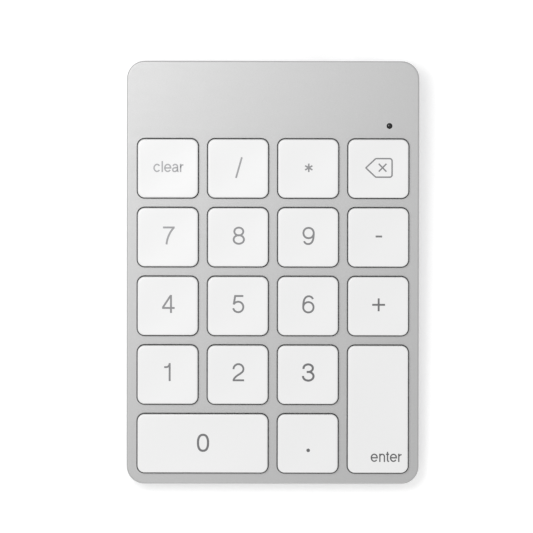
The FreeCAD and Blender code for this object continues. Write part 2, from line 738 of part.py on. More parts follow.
def battery_connector():
    return chip((CONNECTOR_LEFT + 2.1, 43.85), (4.2, 4.6), 1.6)


# ---------------------------------------------------------------- write the STEP files


def write(name, shapes):
    """Writes one node. Shapes in the row's frame go straight in."""
    shapes = shapes if isinstance(shapes, list) else [shapes]
    solids = [solid for shape in shapes for solid in shape.Solids]
    for solid in solids:
        if not solid.isValid():
            raise ValueError(f"{name} has a solid that isn't valid")
    whole = solids[0] if len(solids) == 1 else Part.makeCompound(solids)
    whole.exportStep(f"parts/{name}.step")
    print(f"{name}: {len(solids)} solid(s), {sum(s.Volume for s in solids):.1f} mm3")


def deck_parts():
    """Every node that is drawn in the deck's frame."""
    for key in KEYS:
        yield f"keycap_{key[0]}", keycap(key)
        yield f"scissor_{key[0]}", [at_key(link, key) for link in scissor_links()]
        if is_long(key):
            yield f"stabiliser_wire_{key[0]}", at_key(stabiliser_wire(), key)
    yield "top_case", top_case()
    yield "key_plate", key_plate()
    yield "membrane_circuit", membrane_circuit()
    yield "rubber_domes", [at_key(dome(), key) for key in KEYS]
    yield "case_screws", case_screws()
    yield "internal_screws", internal_screws()
    yield "main_board", main_board()
    yield "board_chips", board_chips()
    yield "membrane_connector", membrane_connector()
    yield "charging_socket_shell", socket_shell()
    yield "charging_socket_tongue", socket_tongue()
    yield "power_switch_body", power_switch_body()
    yield "power_switch_knob", power_switch_knob()
    yield "pairing_switch", pairing_switch()
    yield "pairing_button", pairing_button()
    yield "status_led", status_led()
    yield "led_light_pipe", led_light_pipe()
    yield "battery_cell", battery_cell()
    yield "battery_leads", battery_leads()
    yield "battery_connector", battery_connector()


def main():
    os.makedirs("parts", exist_ok=True)
    for name, shapes in deck_parts():
        shapes = shapes if isinstance(shapes, list) else [shapes]
        write(name, [in_row_frame(s) for s in shapes])
    write("bottom_cover", bottom_cover())
    write("rubber_feet", rubber_feet())


if __name__ == "__main__":
    main()
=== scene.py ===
import json
import math

import bmesh
import bpy
from mathutils import Matrix, Vector


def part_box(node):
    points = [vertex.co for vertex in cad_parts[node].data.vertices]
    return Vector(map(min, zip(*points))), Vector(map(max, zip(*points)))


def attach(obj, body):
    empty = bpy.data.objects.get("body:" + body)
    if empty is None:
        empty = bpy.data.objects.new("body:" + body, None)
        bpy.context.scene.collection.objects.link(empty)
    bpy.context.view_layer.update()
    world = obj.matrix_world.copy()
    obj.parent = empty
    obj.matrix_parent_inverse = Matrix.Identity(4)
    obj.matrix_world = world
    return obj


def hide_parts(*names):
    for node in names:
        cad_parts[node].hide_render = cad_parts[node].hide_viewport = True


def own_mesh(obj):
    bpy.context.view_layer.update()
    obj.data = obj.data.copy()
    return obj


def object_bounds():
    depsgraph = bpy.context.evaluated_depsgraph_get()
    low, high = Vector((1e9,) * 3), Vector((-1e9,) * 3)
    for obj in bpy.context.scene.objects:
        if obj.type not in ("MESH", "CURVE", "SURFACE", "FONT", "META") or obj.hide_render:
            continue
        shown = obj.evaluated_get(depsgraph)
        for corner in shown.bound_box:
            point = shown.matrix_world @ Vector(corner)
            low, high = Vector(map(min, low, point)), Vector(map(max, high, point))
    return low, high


# A slim numeric keypad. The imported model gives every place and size, and this script adds the looks.
# Lengths are in metres. The key legends and the turned sections are drawn in millimetres.

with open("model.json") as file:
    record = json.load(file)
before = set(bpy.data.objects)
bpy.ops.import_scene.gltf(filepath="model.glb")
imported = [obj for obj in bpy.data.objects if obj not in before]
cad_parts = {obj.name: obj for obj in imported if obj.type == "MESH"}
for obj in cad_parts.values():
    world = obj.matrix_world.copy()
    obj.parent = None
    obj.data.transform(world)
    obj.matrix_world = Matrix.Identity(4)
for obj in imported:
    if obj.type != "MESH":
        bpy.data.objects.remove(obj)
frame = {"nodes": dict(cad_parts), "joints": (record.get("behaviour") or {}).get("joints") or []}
cad_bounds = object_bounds()
NODES = frame["nodes"]
MM = 0.001
SAME_POINT = 1e-7  # corners closer together than this are one corner
LATHE_STEPS = 48

# -------------------- the deck's own directions, from the frame

KEY_NAMES = [name.removeprefix("keycap_") for name in sorted(NODES) if name.startswith("keycap_")]
JOINTS = {joint["name"]: joint for joint in frame["joints"]}
UP = -Vector(JOINTS["press_5"]["axis"]).normalized()
RIGHT = Vector((1, 0, 0))
BACK = UP.cross(RIGHT)
DECK_TURN = Matrix((RIGHT, BACK, UP)).transposed().to_4x4()


def height_span(node):
    """Lowest and highest point of a node, measured square to the deck."""
    heights = [v.co.dot(UP) for v in NODES[node].data.vertices]
    return min(heights), max(heights)


def deck_place(point, height):
    """A placement on the deck's directions whose origin is under or over a point, at this height."""
    return Matrix.Translation(point + UP * (height - point.dot(UP))) @ DECK_TURN


def key_place(name):
    """The placement of the middle of a key's top."""
    low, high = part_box(f"keycap_{name}")
    return deck_place((low + high) / 2, height_span(f"keycap_{name}")[1])


# -------------------- small mesh helpers


def add_piece(name, mesh, body, material):
    """A new object of one material that moves with a body."""
    piece = bpy.data.objects.new(name, mesh)
    bpy.context.scene.collection.objects.link(piece)
    mesh.materials.clear()
    mesh.materials.append(material)
    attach(piece, body)
    return piece


def smooth(mesh, angle=32):
    """Shades a mesh smoothly, apart from the edges that turn by more than this many degrees."""
    mesh.shade_smooth()
    mesh.set_sharp_from_angle(angle=math.radians(angle))


def keep_flats_flat(piece):
    """Shades small round edges smoothly without bending the light on the flat faces beside them."""
    modifier = piece.modifiers.new("flat faces", "WEIGHTED_NORMAL")
    modifier.keep_sharp = True
    modifier.weight = 100


def joined_copy(node):
    """A copy of a CAD node's mesh with its split corners joined up again."""
    bm = bmesh.new()
    bm.from_mesh(NODES[node].data)
    bmesh.ops.remove_doubles(bm, verts=bm.verts, dist=SAME_POINT)
    return bm


def to_mesh(bm, name):
    """Turns a working mesh into a mesh of its own."""
    mesh = bpy.data.meshes.new(name)
    bm.to_mesh(mesh)
    bm.free()
    return mesh


def lathed(name, section, place):
    """A closed solid turned from half a section, given in millimetres as radius and height."""
    bm = bmesh.new()
    verts = [bm.verts.new((r * MM, 0, z * MM)) for r, z in section]
    edges = [bm.edges.new(pair) for pair in zip(verts, verts[1:])]
    bmesh.ops.spin(
        bm,
        geom=verts + edges,
        axis=(0, 0, 1),
        cent=(0, 0, 0),
        angle=2 * math.pi,
        steps=LATHE_STEPS,
        use_merge=True,
    )
    bmesh.ops.remove_doubles(bm, verts=bm.verts, dist=SAME_POINT)
    bmesh.ops.recalc_face_normals(bm, faces=bm.faces)
    bm.transform(place)
    return to_mesh(bm, name)


# -------------------- materials


class Recipe:
    """A Principled material with helpers for the nodes behind it."""

    def __init__(self, name, color, roughness, metallic=0.0):
        self.material = bpy.data.materials.new(name)
        self.material.use_nodes = True
        self.nodes = self.material.node_tree.nodes
        self.links = self.material.node_tree.links
        self.shader = self.nodes["Principled BSDF"]
        self.color = color
        self.roughness = roughness
        self.set(**{"Base Color": (*color, 1), "Roughness": roughness, "Metallic": metallic})

    def set(self, **values):
        """Sets the shader's own sockets by name."""
        for socket, value in values.items():
            self.shader.inputs[socket].default_value = value
        return self

    def noise(self, scale, stretch=(1, 1, 1), detail=2.0):
        """Noise over the object's own metres. The scale is in features a metre."""
        place = self.nodes.new("ShaderNodeTexCoord")
        mapping = self.nodes.new("ShaderNodeMapping")
        mapping.inputs["Scale"].default_value = stretch
        noise = self.nodes.new("ShaderNodeTexNoise")
        noise.inputs["Scale"].default_value = scale
        noise.inputs["Detail"].default_value = detail
        self.links.new(place.outputs["Object"], mapping.inputs["Vector"])
        self.links.new(mapping.outputs["Vector"], noise.inputs["Vector"])
        return noise.outputs["Fac"]

    def mapped(self, fac, low, high):
        """Spreads a 0 to 1 value over low to high."""
        ramp = self.nodes.new("ShaderNodeMapRange")
        ramp.inputs["To Min"].default_value = low
        ramp.inputs["To Max"].default_value = high
        self.links.new(fac, ramp.inputs["Value"])
        return ramp.outputs["Result"]

    def tint(self, fac, spread):
        """Varies the colour's brightness by plus or minus spread."""
        mix = self.nodes.new("ShaderNodeMix")
        mix.data_type = "RGBA"
        for socket_name, share in (("A", 1 - spread), ("B", 1 + spread)):
            color = [min(1.0, c * share) for c in self.color]
            socket = next(i for i in mix.inputs if i.name == socket_name and i.type == "RGBA")
            socket.default_value = (*color, 1)
        self.links.new(fac, mix.inputs["Factor"])
        result = next(o for o in mix.outputs if o.type == "RGBA")
        self.links.new(result, self.shader.inputs["Base Color"])
        return self

    def vary_roughness(self, fac, spread):
        """Varies the roughness by plus or minus spread."""
        result = self.mapped(fac, self.roughness - spread, self.roughness + spread)
        self.links.new(result, self.shader.inputs["Roughness"])
        return self

    def bump(self, fac, height_mm, strength):
        """Grain too fine to model, of a height in millimetres."""
        bump = self.nodes.new("ShaderNodeBump")
        bump.inputs["Strength"].default_value = strength
        bump.inputs["Distance"].default_value = height_mm * MM
        self.links.new(fac, bump.inputs["Height"])
        self.links.new(bump.outputs["Normal"], self.shader.inputs["Normal"])
        return self


def grey(value):
    return (value, value, value)


def aluminium():
    """Blasted to a fine grain, anodised and faintly brushed across."""
    recipe = Recipe("anodised aluminium", grey(0.525), roughness=0.44, metallic=1.0)
    grain = recipe.noise(6500, stretch=(0.6, 1, 1), detail=3)
    brushing = recipe.noise(900, stretch=(0.2, 1, 1))
    recipe.tint(grain, spread=0.09).vary_roughness(brushing, spread=0.03)
    return recipe.bump(grain, height_mm=0.006, strength=0.6).material


def key_plastic():
    """White moulding with a fine satin texture."""
    recipe = Recipe("keycap plastic", grey(0.88), roughness=0.34)
    recipe.set(**{"IOR": 1.9, "Specular IOR Level": 0.65})
    texture = recipe.noise(7000)
    recipe.tint(recipe.noise(60), spread=0.006).vary_roughness(texture, spread=0.05)
    return recipe.bump(texture, height_mm=0.004, strength=0.5).material


def cover_plastic():
    """Light grey moulding with a spark-eroded texture."""
    recipe = Recipe("cover plastic", (0.52, 0.525, 0.535), roughness=0.48)
    texture = recipe.noise(3200, detail=3)
    recipe.tint(texture, spread=0.03).vary_roughness(texture, spread=0.06)
    return recipe.bump(texture, height_mm=0.012, strength=0.8).material


def moulded(name, color, roughness, texture_scale=3000):
    """A small plastic or rubber part: fine texture, and broad, faint patches of tone."""
    recipe = Recipe(name, color, roughness)
    texture = recipe.noise(texture_scale)
    patches = recipe.noise(texture_scale / 20)
    recipe.tint(patches, spread=0.03).vary_roughness(texture, spread=0.05)
    return recipe.bump(texture, height_mm=0.003, strength=0.5).material


def metal(name, color, roughness, stretch=(1, 1, 1), grain_scale=2500):
    """A small metal part, with grain that can run one way."""
    recipe = Recipe(name, color, roughness, metallic=1.0)
    grain = recipe.noise(grain_scale, stretch=stretch, detail=3)
    recipe.tint(grain, spread=0.05).vary_roughness(grain, spread=0.06)
    return recipe.bump(grain, height_mm=0.003, strength=0.5).material


def silicone():
    """Milky rubber that lets some light through."""
    recipe = Recipe("dome silicone", (0.80, 0.82, 0.82), roughness=0.55)
    recipe.set(**{"Subsurface Weight": 0.4, "Subsurface Scale": 0.001})
    return recipe.tint(recipe.noise(500), spread=0.03).material


def circuit_board():
    """Green solder mask over a glass weave."""
    recipe = Recipe("solder mask", (0.012, 0.11, 0.045), roughness=0.3)
    weave = recipe.noise(1500, detail=1)
    recipe.tint(weave, spread=0.12).vary_roughness(weave, spread=0.05)
    return recipe.bump(weave, height_mm=0.01, strength=0.4).material


def lens():
    """Near-black clear resin, which only glints while the indicator is off."""
    recipe = Recipe("indicator lens", (0.005, 0.005, 0.006), roughness=0.07)
    recipe.set(**{"IOR": 1.6})
    return recipe.vary_roughness(recipe.noise(3000), spread=0.02).material


# Painted sheen: the ink's grey is lightened along this direction, from one distance to the other, in
# metres from the middle, standing for the reflection of the lamps at the rear left
INK_SHEEN_DIRECTION = (0.65, -0.76, 0.0)
INK_SHEEN_PALEST_AT = -0.040
INK_SHEEN_DARKEST_AT = 0.055
INK_TONES_WITH_PAINTED_SHEEN = ((0.0, 0.44), (0.25, 0.29), (0.5, 0.21), (0.75, 0.145), (1.0, 0.11))
INK_BLUE = 1.03


def legend_ink_with_painted_sheen():
    """Grey print under a painted sheen: palest at the rear left of the pad, where it stands for the
    lamps' reflection, and darkest at the front right.
    """
    recipe = Recipe("legend ink with painted sheen", grey(0.2), roughness=0.5)
    place = recipe.nodes.new("ShaderNodeTexCoord")
    along = recipe.nodes.new("ShaderNodeVectorMath")
    along.operation = "DOT_PRODUCT"
    along.inputs[1].default_value = INK_SHEEN_DIRECTION
    spread = recipe.nodes.new("ShaderNodeMapRange")
    spread.inputs["From Min"].default_value = INK_SHEEN_PALEST_AT
    spread.inputs["From Max"].default_value = INK_SHEEN_DARKEST_AT
    ramp = recipe.nodes.new("ShaderNodeValToRGB")
    stops = ramp.color_ramp.elements
    for position, _ in INK_TONES_WITH_PAINTED_SHEEN[1:-1]:
        stops.new(position)
    for stop, (_, tone) in zip(stops, INK_TONES_WITH_PAINTED_SHEEN):
        stop.color = (tone, tone, tone * INK_BLUE, 1)
    recipe.links.new(place.outputs["Object"], along.inputs[0])
    recipe.links.new(along.outputs["Value"], spread.inputs["Value"])
    recipe.links.new(spread.outputs["Result"], ramp.inputs["Fac"])
    recipe.links.new(ramp.outputs["Color"], recipe.shader.inputs["Base Color"])
    return recipe.material


WHITE_KEYS = key_plastic()
ALUMINIUM = aluminium()
COVER = cover_plastic()
# the legend print, whose grey carries a painted sheen of reflected light across the pad
INK_WITH_PAINTED_SHEEN = legend_ink_with_painted_sheen()
SILICONE = silicone()
LINK_PLASTIC = moulded("scissor plastic", (0.72, 0.72, 0.70), roughness=0.45)
DARK_PLASTIC = moulded("dark plastic", grey(0.018), roughness=0.4)
KNOB_PLASTIC = moulded("knob plastic", grey(0.03), roughness=0.5, texture_scale=4000)
FOOT_RUBBER = moulded("foot rubber", grey(0.22), roughness=0.8, texture_scale=1800)
CREAM_PLASTIC = moulded("connector plastic", (0.70, 0.66, 0.55), roughness=0.4)
FILM = moulded("switch film", (0.44, 0.45, 0.49), roughness=0.22, texture_scale=900)
LEAD_SKIN = moulded("lead insulation", (0.32, 0.012, 0.01), roughness=0.4)
STEEL = metal("rolled steel", grey(0.50), roughness=0.35, stretch=(0.1, 1, 1))
WIRE_STEEL = metal("drawn wire", grey(0.62), roughness=0.22)
SCREW_STEEL = metal("screw plating", grey(0.30), roughness=0.34)
SOCKET_STEEL = metal("nickel plating", (0.66, 0.65, 0.63), roughness=0.24)
FOIL = metal("pouch foil", (0.72, 0.72, 0.73), roughness=0.36, grain_scale=400)
BOARD = circuit_board()
LENS = lens()
LAMP = moulded("lamp resin", (0.75, 0.72, 0.45), roughness=0.2)

# CAD nodes that keep their shape and get only a material
FINISHES = {
    "top_case": ALUMINIUM,
    "bottom_cover": COVER,
    "rubber_feet": FOOT_RUBBER,
    "key_plate": STEEL,
    "membrane_circuit": FILM,
    "case_screws": SCREW_STEEL,
    "internal_screws": SCREW_STEEL,
    "main_board": BOARD,
    "board_chips": DARK_PLASTIC,
    "membrane_connector": CREAM_PLASTIC,
    "charging_socket_shell": SOCKET_STEEL,
    "charging_socket_tongue": DARK_PLASTIC,
    "power_switch_body": DARK_PLASTIC,
    "power_switch_knob": KNOB_PLASTIC,
    "pairing_switch": DARK_PLASTIC,
    "pairing_button": KNOB_PLASTIC,
    "status_led": LAMP,
    "battery_cell": FOIL,
    "battery_leads": LEAD_SKIN,
    "battery_connector": CREAM_PLASTIC,
    "stabiliser_wire_0": WIRE_STEEL,
    "stabiliser_wire_enter": WIRE_STEEL,
}

for node_name, finish in FINISHES.items():
    NODES[node_name].data.materials.clear()
    NODES[node_name].data.materials.append(finish)

# -------------------- keycaps with a shallow dish

DISH_DEPTH = 0.16 * MM
DISH_STEP = 0.9 * MM
LEVEL = 0.9999  # the least upward part of a flat top face's normal
TOP_TOLERANCE = 1e-6
CUT_TOLERANCE = 1e-8


class Dish:
    """The hollow in a key's top: deepest in the middle, and level with the rounded edge all round."""

    def __init__(self, half_x, half_y):
        self.half_x = half_x
        self.half_y = half_y

    def height(self, x, y):
        """The dish's height from the level of the key's edge: 0 at the edge, and negative inside it."""
        u = min(1.0, abs(x) / self.half_x)
        v = min(1.0, abs(y) / self.half_y)
        return -DISH_DEPTH * (1 - u * u) * (1 - v * v)


def top_faces(bm):
    """The flat faces at the level of the key's top."""
    level = [f for f in bm.faces if f.normal.z > LEVEL]
    return [f for f in level if abs(f.calc_center_median().z) < TOP_TOLERANCE]


def slice_top(bm, half, direction):
    """Cuts the top into strips, so that it has the points to follow the dish."""
    count = max(2, round(2 * half / DISH_STEP))
    for step in range(1, count):
        at = direction * (-half + 2 * half * step / count)
        faces = top_faces(bm)
        edges = dict.fromkeys(e for f in faces for e in f.edges)
        verts = dict.fromkeys(v for f in faces for v in f.verts)
        bmesh.ops.bisect_plane(
            bm, geom=[*faces, *edges, *verts], plane_co=at, plane_no=direction, dist=CUT_TOLERANCE
        )


def keycap(name):
    """The CAD cap with a dish in its top. Gives the top's placement and its dish."""
    place = key_place(name)
    bm = joined_copy(f"keycap_{name}")
    bm.transform(place.inverted())
    bm.normal_update()
    corners = [v.co for f in top_faces(bm) for v in f.verts]
    dish = Dish(max(c.x for c in corners), max(c.y for c in corners))
    slice_top(bm, dish.half_x, Vector((1, 0, 0)))
    slice_top(bm, dish.half_y, Vector((0, 1, 0)))
    for vert in {v for f in top_faces(bm) for v in f.verts}:
        vert.co.z += dish.height(vert.co.x, vert.co.y)
    bm.transform(place)
    mesh = to_mesh(bm, f"cap_{name}")
    smooth(mesh)
    piece = add_piece(f"cap_{name}", mesh, f"key_{name}", WHITE_KEYS)
    keep_flats_flat(piece)
    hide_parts(f"keycap_{name}")
    return place, dish


KEY_TOPS = {name: keycap(name) for name in KEY_NAMES}

# -------------------- key legends, in millimetres

INK_RISE = 0.012
INK_DEPTH = 0.02
DIGIT_W = 3.2
DIGIT_H = 4.75
DIGIT_STROKE = 0.5
DIGIT_SCALE = 1.035
LINE_STEP = 0.8


def arc(centre, radii, start, end, steps=28):
    """Part of an ellipse between two angles in degrees."""
    angles = [math.radians(start + (end - start) * i / steps) for i in range(steps + 1)]
    return [(centre[0] + radii[0] * math.cos(a), centre[1] + radii[1] * math.sin(a)) for a in angles]


def bezier(a, b, c, d, steps=20):
    """A cubic curve from a to d, pulled towards b and c."""
    points = []
    for i in range(steps + 1):
        t = i / steps
        s = 1 - t
        shares = (s**3, 3 * s * s * t, 3 * s * t * t, t**3)
        x, y = (sum(share * point[k] for share, point in zip(shares, (a, b, c, d))) for k in (0, 1))
        points.append((x, y))
    return points


def line(*corners):
    """Straight runs, with points close enough together for them to follow the dish."""
    points = [corners[0]]
    for (ax, ay), (bx, by) in zip(corners, corners[1:]):
        count = max(1, math.ceil(math.dist((ax, ay), (bx, by)) / LINE_STEP))
        for i in range(1, count + 1):
            points.append((ax + (bx - ax) * i / count, ay + (by - ay) * i / count))
    return points


def superellipse(half_x, half_y, power, lift=0.0, steps=56):
    """An oval with its middle lifted off the origin. Its corners fill out as the power goes up."""
    points = []
    for i in range(steps):
        angle = 2 * math.pi * i / steps
        c = math.cos(angle)
        s = math.sin(angle)
        x = half_x * math.copysign(abs(c) ** (2 / power), c)
        y = half_y * math.copysign(abs(s) ** (2 / power), s)
        points.append((x, y + lift))
    return points


# A drawing is a list of strokes. A stroke is its points and whether it is closed.


def moved(strokes, dx=0.0, dy=0.0, scale=1.0):
    """Strokes scaled about the origin, and then shifted."""
    result = []
    for points, closed in strokes:
        result.append(([(x * scale + dx, y * scale + dy) for x, y in points], closed))
    return result


def opened(*paths):
    """Paths as open strokes."""
    return [(path, False) for path in paths]


def ring(path):
    """A path as one closed stroke."""
    return (path, True)


# Digits are drawn about the middle of their height, along the line of the pen and not its edge.
PEN_X = (DIGIT_W - DIGIT_STROKE) / 2
PEN_Y = (DIGIT_H - DIGIT_STROKE) / 2
EDGE_Y = DIGIT_H / 2


def digit_0():
    return [ring(superellipse(PEN_X - 0.03, PEN_Y - 0.03, 2.4))]


def digit_1():
    stem = line((0.5, -EDGE_Y), (0.5, EDGE_Y))
    flag = [(-0.95, 1.30)] + bezier((-0.5, 1.30), (0.15, 1.32), (0.40, 1.65), (0.50, 2.2), 8)
    return opened(stem, flag)


def digit_2():
    bow = arc((0.0, 0.83), (1.3, 1.295), 182, -22)
    sweep = bezier(bow[-1], (0.86, -0.45), (-1.12, -0.95), (-1.27, -PEN_Y))
    return opened(bow + sweep[1:], line((-1.52, -PEN_Y), (1.5, -PEN_Y)))


def digit_3():
    upper = arc((-0.02, 1.13), (1.22, 0.995), 192, -90)
    lower = arc((0.0, -0.99), (PEN_X + 0.03, 1.145), 90, -184)
    return opened(upper + line(upper[-1], (-0.42, 0.135))[1:], lower)


def digit_4():
    stem = line((0.72, -EDGE_Y), (0.72, EDGE_Y))
    bar = line((-1.6, -1.05), (1.68, -1.05))
    slant = line((-1.47, -1.0), (0.60, 2.16))
    return opened(stem, bar, slant)


def digit_5():
    angle = line((1.35, PEN_Y), (-0.80, PEN_Y), (-1.17, -0.12))
    bowl = arc((0.0, -0.75), (PEN_X, 1.375), 150, -166)
    return opened(angle, bowl)


def digit_6():
    bowl = superellipse(PEN_X, 1.355, 2.05, lift=-0.77)
    hook = arc((0.12, 1.12), (1.08, 1.005), 14, 90, 12)
    back = bezier(hook[-1], (-0.95, PEN_Y), (-PEN_X, 1.05), (-PEN_X, -0.65))
    return [ring(bowl)] + opened(hook + back[1:])


def digit_7():
    top = line((-1.54, PEN_Y), (1.54, PEN_Y))
    return opened(top, bezier((1.29, 2.06), (0.33, 1.0), (-0.45, -0.6), (-0.60, 0.05 - EDGE_Y)))


def digit_8():
    upper = superellipse(1.17, 1.025, 2.0, lift=1.1)
    lower = superellipse(PEN_X, 1.125, 2.0, lift=-1.0)
    return [ring(upper), ring(lower)]


def digit_9():
    return moved(digit_6(), scale=-1.0)


def plus_sign():
    return opened(line((-1.75, 0), (1.75, 0)), line((0, -1.75), (0, 1.75)))


def minus_sign():
    return opened(line((-0.885, 0), (0.885, 0)))


def divide_sign():
    return opened(line((-0.80, -2.82), (0.80, 2.82)))


def multiply_sign():
    arm = 1.15
    arms = []
    for angle in (90, 30, -30):
        x = arm * math.cos(math.radians(angle))
        y = arm * math.sin(math.radians(angle))
        arms.append(line((-x, -y), (x, y)))
    return opened(*arms)


ARC_PULL = 0.55  # how far a curve's handles reach into a corner, for it to be about round


def rounded_corners(corners, radii):
    """A closed outline whose corners are rounded to the given radii."""
    points = []
    for i, (corner, radius) in enumerate(zip(corners, radii)):
        here = Vector(corner)
        to_last = (Vector(corners[i - 1]) - here).normalized()
        to_next = (Vector(corners[(i + 1) % len(corners)]) - here).normalized()
        trim = radius / math.tan(to_last.angle(to_next) / 2)
        a = here + to_last * trim
        b = here + to_next * trim
        points += bezier(a, a.lerp(here, ARC_PULL), b.lerp(here, ARC_PULL), b, 6)
    return line(*points, points[0])[:-1]


def backspace_sign():
    corners = [(-3.68, 0), (-1.0, -2.52), (3.45, -2.52), (3.45, 2.52), (-1.0, 2.52)]
    border = rounded_corners(corners, (0.12, 0.45, 0.65, 0.65, 0.45))
    cross = opened(line((-1.05, -1.07), (1.05, 1.07)), line((-1.05, 1.07), (1.05, -1.07)))
    return [ring(border)] + moved(cross, 0.87, 0.05)


# Small letters stand on y = 0 with their left edge at x = 0. Their pen is thinner than the digits'.
LETTER_STROKE = 0.36
X_HEIGHT = 2.26
ASCENDER = 3.01
PEN = LETTER_STROKE / 2
ROUND_X = 0.80
ROUND_Y = (X_HEIGHT - LETTER_STROKE) / 2
BOWL = (PEN + ROUND_X, X_HEIGHT / 2)


def letter_c():
    return opened(arc(BOWL, (ROUND_X, ROUND_Y), 36, 324))


def letter_l():
    return opened(line((PEN, 0), (PEN, ASCENDER)))


def letter_e():
    bar = line((BOWL[0] - ROUND_X, BOWL[1]), (BOWL[0] + ROUND_X, BOWL[1]))
    return opened(bar + arc(BOWL, (ROUND_X, ROUND_Y), 0, 325)[1:])


def letter_a():
    shoulder = arc((0.86, X_HEIGHT - PEN - 0.56), (0.62, 0.56), 165, 0, 16)
    stem = shoulder + bezier(shoulder[-1], (1.48, 0.6), (1.42, 0.1), (1.78, 0.19), 10)[1:]
    belly = bezier((1.46, 1.28), (1.1, 1.12), (PEN, 1.35), (PEN, 0.62), 12)
    foot = bezier((PEN, 0.62), (PEN, -0.02), (1.2, 0.0), (1.47, 0.75), 12)
    return opened(stem, belly + foot[1:])


def letter_n():
    arch = arc((0.80, X_HEIGHT - PEN - 0.62), (0.62, 0.62), 180, 0, 16)
    return opened(line((PEN, 0), (PEN, X_HEIGHT)), arch + line(arch[-1], (1.42, 0))[1:])


def letter_r():
    arm = bezier((PEN, 1.1), (PEN, 1.75), (0.5, 1.99), (0.95, 1.96), 10)
    return opened(line((PEN, 0), (PEN, X_HEIGHT)), arm)


def letter_t():
    foot = bezier((0.42, 0.6), (0.42, 0.2), (0.55, 0.17), (0.88, 0.18), 8)
    stem = line((0.42, 2.75), (0.42, 0.6)) + foot[1:]
    return opened(stem, line((0, X_HEIGHT - PEN), (0.86, X_HEIGHT - PEN)))


LETTERS = {
    "a": letter_a,
    "c": letter_c,
    "e": letter_e,
    "l": letter_l,
    "n": letter_n,
    "r": letter_r,
    "t": letter_t,
}


def word(placed, width):
    """Letters at their left edges. The word is centred across, and stands on y = 0."""
    return [stroke for letter, x in placed for stroke in moved(LETTERS[letter](), dx=x - width / 2)]


def word_clear():
    return word((("c", 0), ("l", 2.22), ("e", 2.90), ("a", 5.06), ("r", 7.20)), width=8.15)


def word_enter():
    return word((("e", 0.04), ("n", 2.36), ("t", 4.20), ("e", 5.26), ("r", 7.50)), width=8.5)


# What is printed on each key: its drawing, the width of its pen, and the place of its middle from the
# key's middle. For a word, that is the middle of its foot. The decimal point has no drawing: it is a
# disc, and its radius stands in for the pen.
LEGENDS = {
    "clear": (word_clear, 0.40, (0.16, -1.0)),
    "divide": (divide_sign, 0.48, (0.25, 0.25)),
    "multiply": (multiply_sign, 0.42, (0.16, 0.22)),
    "backspace": (backspace_sign, 0.39, (0.28, 0.23)),
    "7": (digit_7, DIGIT_STROKE, (0.28, 0.45)),
    "8": (digit_8, DIGIT_STROKE, (0.24, 0.44)),
    "9": (digit_9, DIGIT_STROKE, (0.14, 0.40)),
    "minus": (minus_sign, 0.52, (0.18, 0.28)),
    "4": (digit_4, DIGIT_STROKE, (0.15, 0.55)),
    "5": (digit_5, DIGIT_STROKE, (0.10, 0.54)),
    "6": (digit_6, DIGIT_STROKE, (0.12, 0.50)),
    "plus": (plus_sign, 0.52, (0.16, 0.40)),
    "1": (digit_1, DIGIT_STROKE, (0.04, 0.71)),
    "2": (digit_2, DIGIT_STROKE, (0.20, 0.70)),
    "3": (digit_3, 0.56, (0.12, 0.66)),
    "0": (digit_0, 0.58, (0.12, 0.17)),
    "decimal": (None, 0.49, (0.13, -1.84)),
    "enter": (word_enter, LETTER_STROKE, (2.28, -14.30)),
}


def pen_stroke(points, closed, width):
    """A flat closed solid along the pen's line, as thick as the ink."""
    bm = bmesh.new()
    count = len(points)
    rings = []
    for i, point in enumerate(points):
        here = Vector(point)
        ways = []
        if closed or i > 0:
            ways.append((here - Vector(points[i - 1])).normalized())
        if closed or i < count - 1:
            ways.append((Vector(points[(i + 1) % count]) - here).normalized())
        along = sum(ways, Vector((0, 0))).normalized()
        out = Vector((-along.y, along.x)) * (width / 2 / along.dot(ways[0]))
        corners = ((out, INK_RISE), (-out, INK_RISE), (-out, -INK_DEPTH), (out, -INK_DEPTH))
        rings.append([bm.verts.new((here.x + side.x, here.y + side.y, z)) for side, z in corners])
    pairs = list(zip(rings, rings[1:]))
    if closed:
        pairs.append((rings[-1], rings[0]))
    for a, b in pairs:
        for k in range(4):
            bm.faces.new((a[k], a[(k + 1) % 4], b[(k + 1) % 4], b[k]))
    if not closed:
        bm.faces.new(rings[0][::-1])
        bm.faces.new(rings[-1])
    bmesh.ops.recalc_face_normals(bm, faces=bm.faces)
    return to_mesh(bm, "stroke")


def disc(radius):
    """A round dot, as thick as the ink."""
    bm = bmesh.new()
    bmesh.ops.create_cone(
        bm,
        segments=40,
        radius1=radius,
        radius2=radius,
        depth=INK_RISE + INK_DEPTH,
        cap_ends=True,
        matrix=Matrix.Translation((0, 0, (INK_RISE - INK_DEPTH) / 2)),
    )
    return to_mesh(bm, "stroke")


def one_solid(meshes):
    """Joins crossing strokes into one solid with no faces inside it."""
    if len(meshes) == 1:
        return meshes[0]
    base = bpy.data.objects.new("stroke", meshes[0])
    bpy.context.scene.collection.objects.link(base)
    others = []
    for mesh in meshes[1:]:
        other = bpy.data.objects.new("stroke", mesh)
        bpy.context.scene.collection.objects.link(other)
        others.append(other)
        union = base.modifiers.new("union", "BOOLEAN")
        union.operation = "UNION"
        union.solver = "EXACT"
        union.object = other
    bpy.context.view_layer.update()
    joined = base.evaluated_get(bpy.context.evaluated_depsgraph_get())
    whole = bpy.data.meshes.new_from_object(joined)
    for stroke in [base] + others:
        bpy.data.objects.remove(stroke)
    return whole


